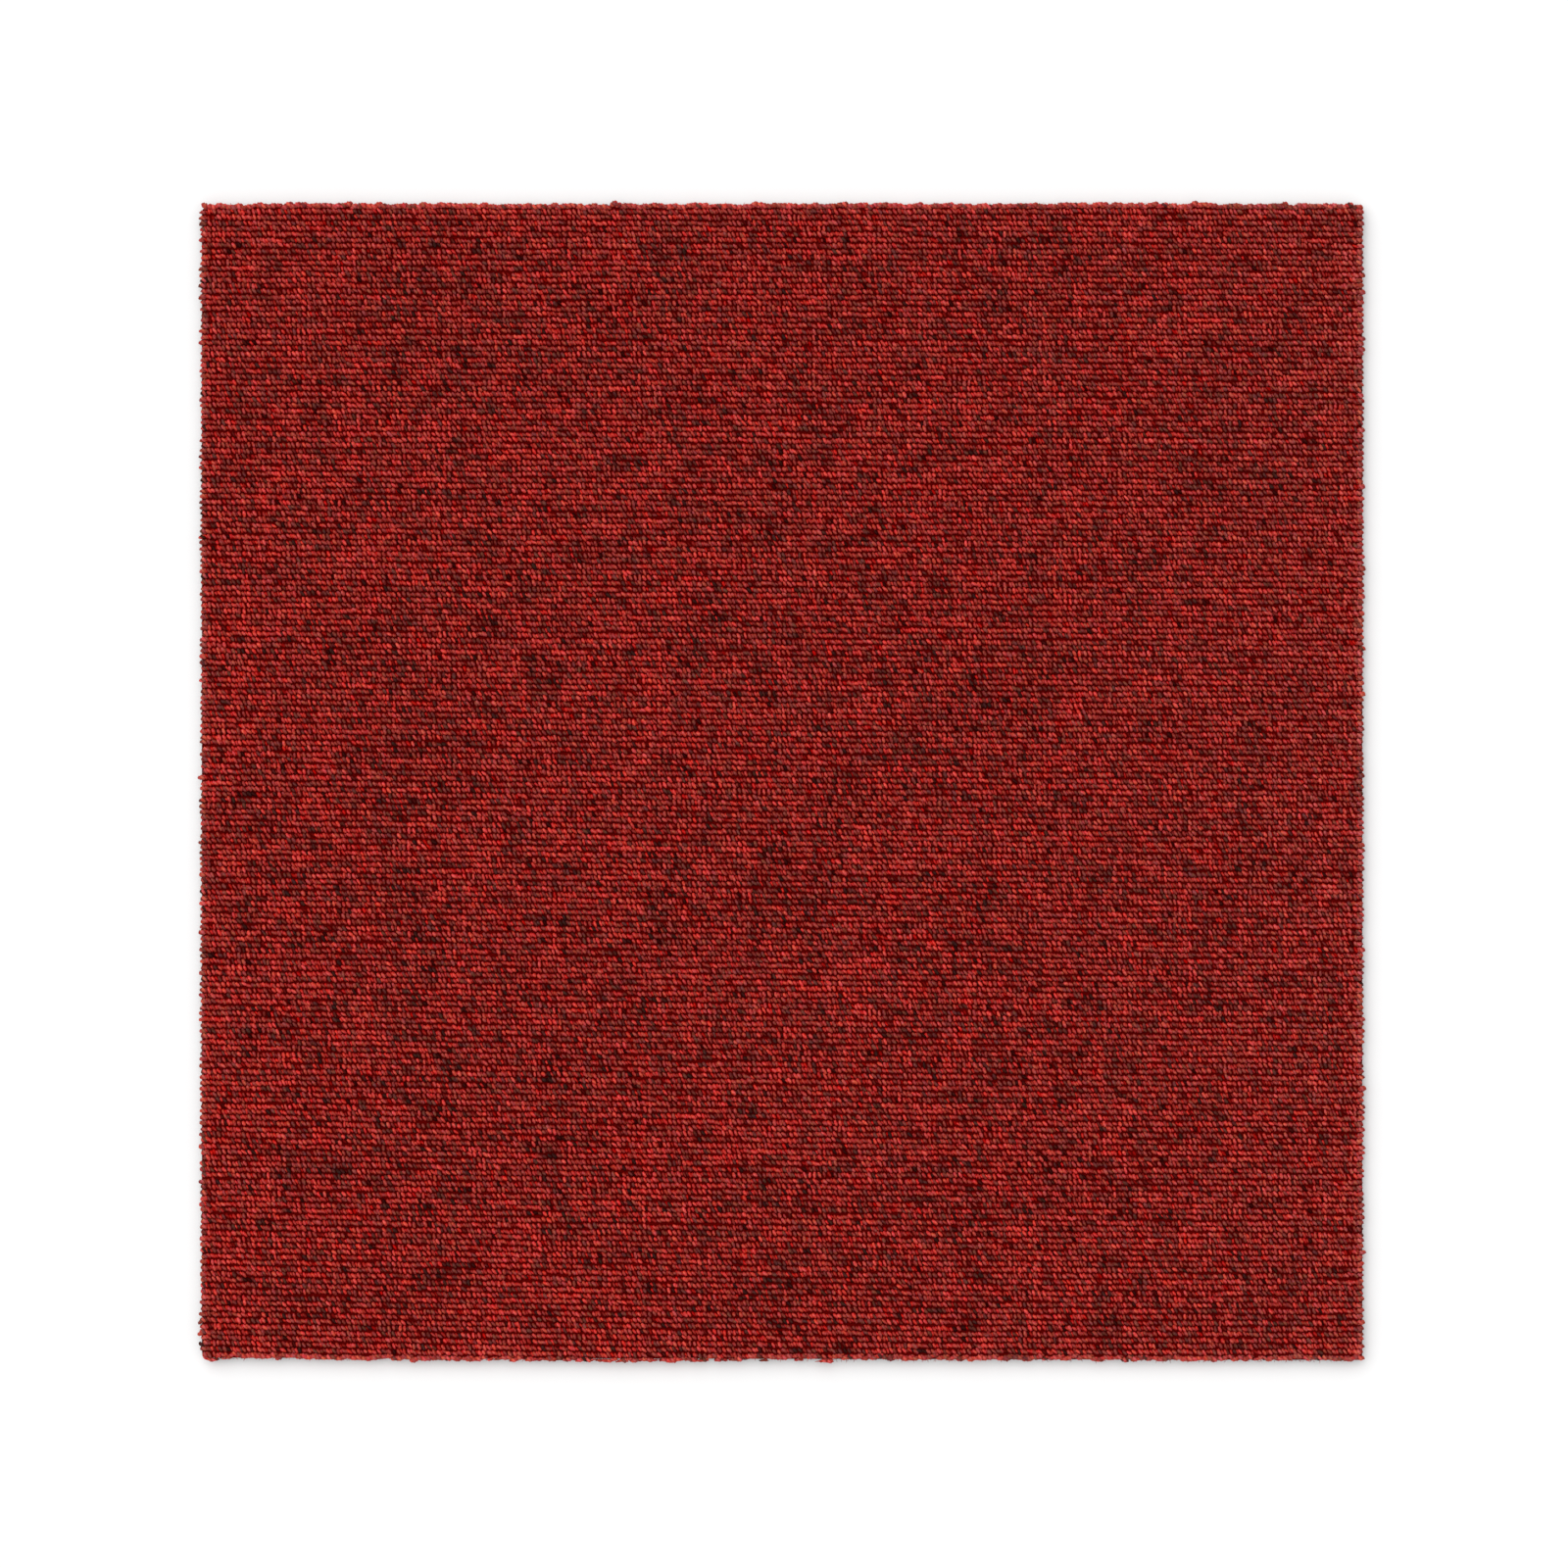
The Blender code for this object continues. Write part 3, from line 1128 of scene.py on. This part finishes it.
# Looks of the backing: its tint's setting, the darker tone against it, how rough and glossy it is,
# how strong and high its bumps are, and its grain's detail, blend and scale, with one turn or two
Look = namedtuple("Look", "tint darker roughness gloss bump height detail blend scale turns")
LOOKS = {
    "woven_cloth": Look("cloth", 0.5, 0.9, 0.25, 0.6, 0.3 * MM, 2, 0.5, (400, 2600, 2600), (0,)),
    # Its tint is painted shade of the yarn deep in the pile
    "packed_feet": Look("bed", 0.35, 0.9, 0, 0.6, 0.3 * MM, 2, 0.6, (700, 2400, 2400), (0.6,)),
    "filled_compound": Look(
        "compound", 0.6, 0.75, 0.25, 0.5, 0.3 * MM, 4, 0.65, (1400, 1400, 1400), (0,)
    ),
    "felted_fleece": Look(
        "fleece", 0.45, 0.95, 0.25, 0.7, 0.4 * MM, 2, 0.6, (250, 2600, 2600), (0.5, -0.8)
    ),
}


def model_slab(name, low, high):
    """A slab with its upright corners eased, cut back with the pile at its near and far edges."""
    middle = (low + high) / 2
    bpy.ops.object.select_all(action="DESELECT")
    bpy.ops.mesh.primitive_cube_add(size=1.0, location=middle)
    slab = bpy.context.object
    slab.name = name
    bpy.ops.transform.resize(value=tuple(high - low))
    bpy.ops.object.transform_apply(location=True, rotation=True, scale=True)
    tufts = bpy.context.scene.carpet_tufts
    settings = bpy.context.scene.carpet_backing
    start_edit(slab)
    bpy.ops.mesh.select_mode(type="EDGE")
    for side, ease in ((-1, settings.left_ease), (1, settings.corner_ease)):
        bpy.ops.mesh.select_all(action="DESELECT")
        edited = bmesh.from_edit_mesh(slab.data)
        for edge in edited.edges:
            first, second = edge.verts[0].co, edge.verts[1].co
            upright = abs(first.z - second.z) > 0.5 * (high.z - low.z)
            edge.select_set(upright and first.x * side > 0.4 * TILE_WIDTH)
        bmesh.update_edit_mesh(slab.data)
        bpy.ops.mesh.bevel(offset=ease, segments=CORNER_SEGMENTS, affect="EDGES")
    bpy.ops.mesh.select_mode(type="VERT")
    end_edit()
    points = read_points(slab.data)
    near = points[:, 1] < -0.4 * TILE_LENGTH
    far = points[:, 1] > 0.4 * TILE_LENGTH
    points[near, 1] += cut_line(points[near, 0]) - PILE_LOW.y + settings.cut_back
    points[far, 1] -= tufts.far_trim + settings.cut_back
    write_points(slab.data, points)
    return slab


def backing_material(name):
    """A material between a tint and a darker one, coloured and raised by one grain."""
    look = LOOKS[name]
    tint = getattr(bpy.context.scene.carpet_backing, look.tint)
    material, tree, shader, place = new_material(name, look.roughness, look.gloss)
    threads = [noise(tree, place, turn, look.scale, look.detail, look.blend) for turn in look.turns]
    grain = calculate(tree, "MAXIMUM", *threads) if len(threads) > 1 else threads[0]
    dark = tuple(look.darker * part for part in tint)
    mixed = mix_colours(tree, grain, (*dark, 1.0), (*tint, 1.0))
    feed(tree, mixed, shader.inputs["Base Color"])
    add_bump(tree, shader, grain, look.bump, look.height)
    return material


class CARPETTILE_OT_backing(Operator):
    """Build the primary cloth, the filled slab and the underside fleece"""

    bl_idname = "carpet_tile.backing"
    bl_label = "Backing"

    def execute(self, context):
        settings = context.scene.carpet_backing
        fleece_top = settings.fleece_thickness
        cloth_top = PILE_LOW.z + settings.cloth_thickness
        bed_top = cloth_top + settings.bed_thickness
        pile = (PILE_LOW, PILE_HIGH, "loop_yarn", "loop_pile")
        backing = (BACKING_LOW, BACKING_HIGH, "backing_compound", "backing")
        layers = (
            ("primary_cloth", "woven_cloth", 1.0, PILE_LOW.z, cloth_top, pile),
            ("yarn_feet", "packed_feet", BED_INSET, cloth_top, bed_top, pile),
            ("backing_slab", "filled_compound", 1.0, fleece_top, PILE_LOW.z, backing),
            ("underside_fleece", "felted_fleece", 1.0, BACKING_LOW.z, fleece_top, backing),
        )
        for name, look, inset_share, bottom, top, (low, high, slot, node) in layers:
            inset = Vector((1, 1)) * settings.inset * inset_share
            corners = (Vector((*(low.xy + inset), bottom)), Vector((*(high.xy - inset), top)))
            finish_piece(model_slab(name, *corners), backing_material(look), node)
        return {"FINISHED"}


FLOOR_SIZE = 6.0
FLOOR_GAP = 0.05 * MM
FLOOR_ROUGHNESS = 0.9
# Share of the light's tilt that each of its two turns takes
SHARED_TILT = 0.7
# Width of the camera's sensor in millimetres, and where it stands over the tile
SENSOR_WIDTH = 36.0
CAMERA_PLACE = (0.84 * MM, -1.05 * MM)


class CARPETTILE_OT_stage(Operator):
    """Lay the floor and set the light and the camera"""

    bl_idname = "carpet_tile.stage"
    bl_label = "Stage"

    def execute(self, context):
        settings = context.scene.carpet_stage
        bpy.ops.object.select_all(action="DESELECT")
        level = BACKING_LOW.z - FLOOR_GAP
        bpy.ops.mesh.primitive_plane_add(size=FLOOR_SIZE, location=(0, 0, level))
        floor = bpy.context.object
        floor.name = "floor"
        material, _, shader, _ = new_material("floor", FLOOR_ROUGHNESS)
        shader.inputs["Base Color"].default_value = (*settings.floor, 1.0)
        floor.data.materials.append(material)

        world = bpy.data.worlds.new("soft_sky")
        world.use_nodes = True
        world.node_tree.nodes["Background"].inputs["Color"].default_value = (1.0, 1.0, 1.0, 1.0)
        world.node_tree.nodes["Background"].inputs["Strength"].default_value = settings.sky
        context.scene.world = world

        bpy.ops.object.light_add(
            type="SUN",
            location=(-1, 1, 2),
            rotation=(-settings.key_tilt * SHARED_TILT, -settings.key_tilt * SHARED_TILT, 0),
        )
        key = bpy.context.object
        key.name = "key_light"
        key.data.energy = settings.key
        key.data.angle = settings.key_spread

        away = settings.frame_width * settings.lens / SENSOR_WIDTH
        bpy.ops.object.camera_add(location=(*CAMERA_PLACE, PILE_HIGH.z + away))
        camera = bpy.context.object
        camera.name = "camera"
        camera.data.lens = settings.lens
        camera.data.clip_start = 0.01
        context.scene.camera = camera
        context.scene.view_settings.view_transform = "Standard"
        return {"FINISHED"}


class CARPETTILE_PT_sidebar(Panel):
    """Sizes and colours of the carpet tile, and the steps that build it"""

    bl_idname = "CARPETTILE_PT_sidebar"
    bl_label = "Carpet tile"
    bl_space_type = "VIEW_3D"
    bl_region_type = "UI"
    bl_category = "Carpet tile"

    def draw(self, context):
        for step in STEPS:
            self.layout.operator(step.bl_idname)
        for group in SETTINGS:
            box = self.layout.box()
            values = getattr(context.scene, group)
            for name in SETTINGS[group].__annotations__:
                box.prop(values, name)


STEPS = (
    CARPETTILE_OT_loop_rows,
    CARPETTILE_OT_edge_loops,
    CARPETTILE_OT_backing,
    CARPETTILE_OT_stage,
)
SETTINGS = {
    "carpet_tufts": TuftSettings,
    "carpet_yarn": YarnSettings,
    "carpet_backing": BackingSettings,
    "carpet_stage": StageSettings,
}
CLASSES = (*SETTINGS.values(), *STEPS, CARPETTILE_PT_sidebar)


def register():
    for each in CLASSES:
        bpy.utils.register_class(each)
    for name, group in SETTINGS.items():
        setattr(bpy.types.Scene, name, PointerProperty(type=group))


def unregister():
    for name in SETTINGS:
        delattr(bpy.types.Scene, name)
    for each in reversed(CLASSES):
        bpy.utils.unregister_class(each)


def main():
    register()
    bpy.ops.carpet_tile.loop_rows()
    bpy.ops.carpet_tile.edge_loops()
    bpy.ops.carpet_tile.backing()
    bpy.ops.carpet_tile.stage()
    bpy.context.view_layer.update()


if __name__ == "__main__":
    main()
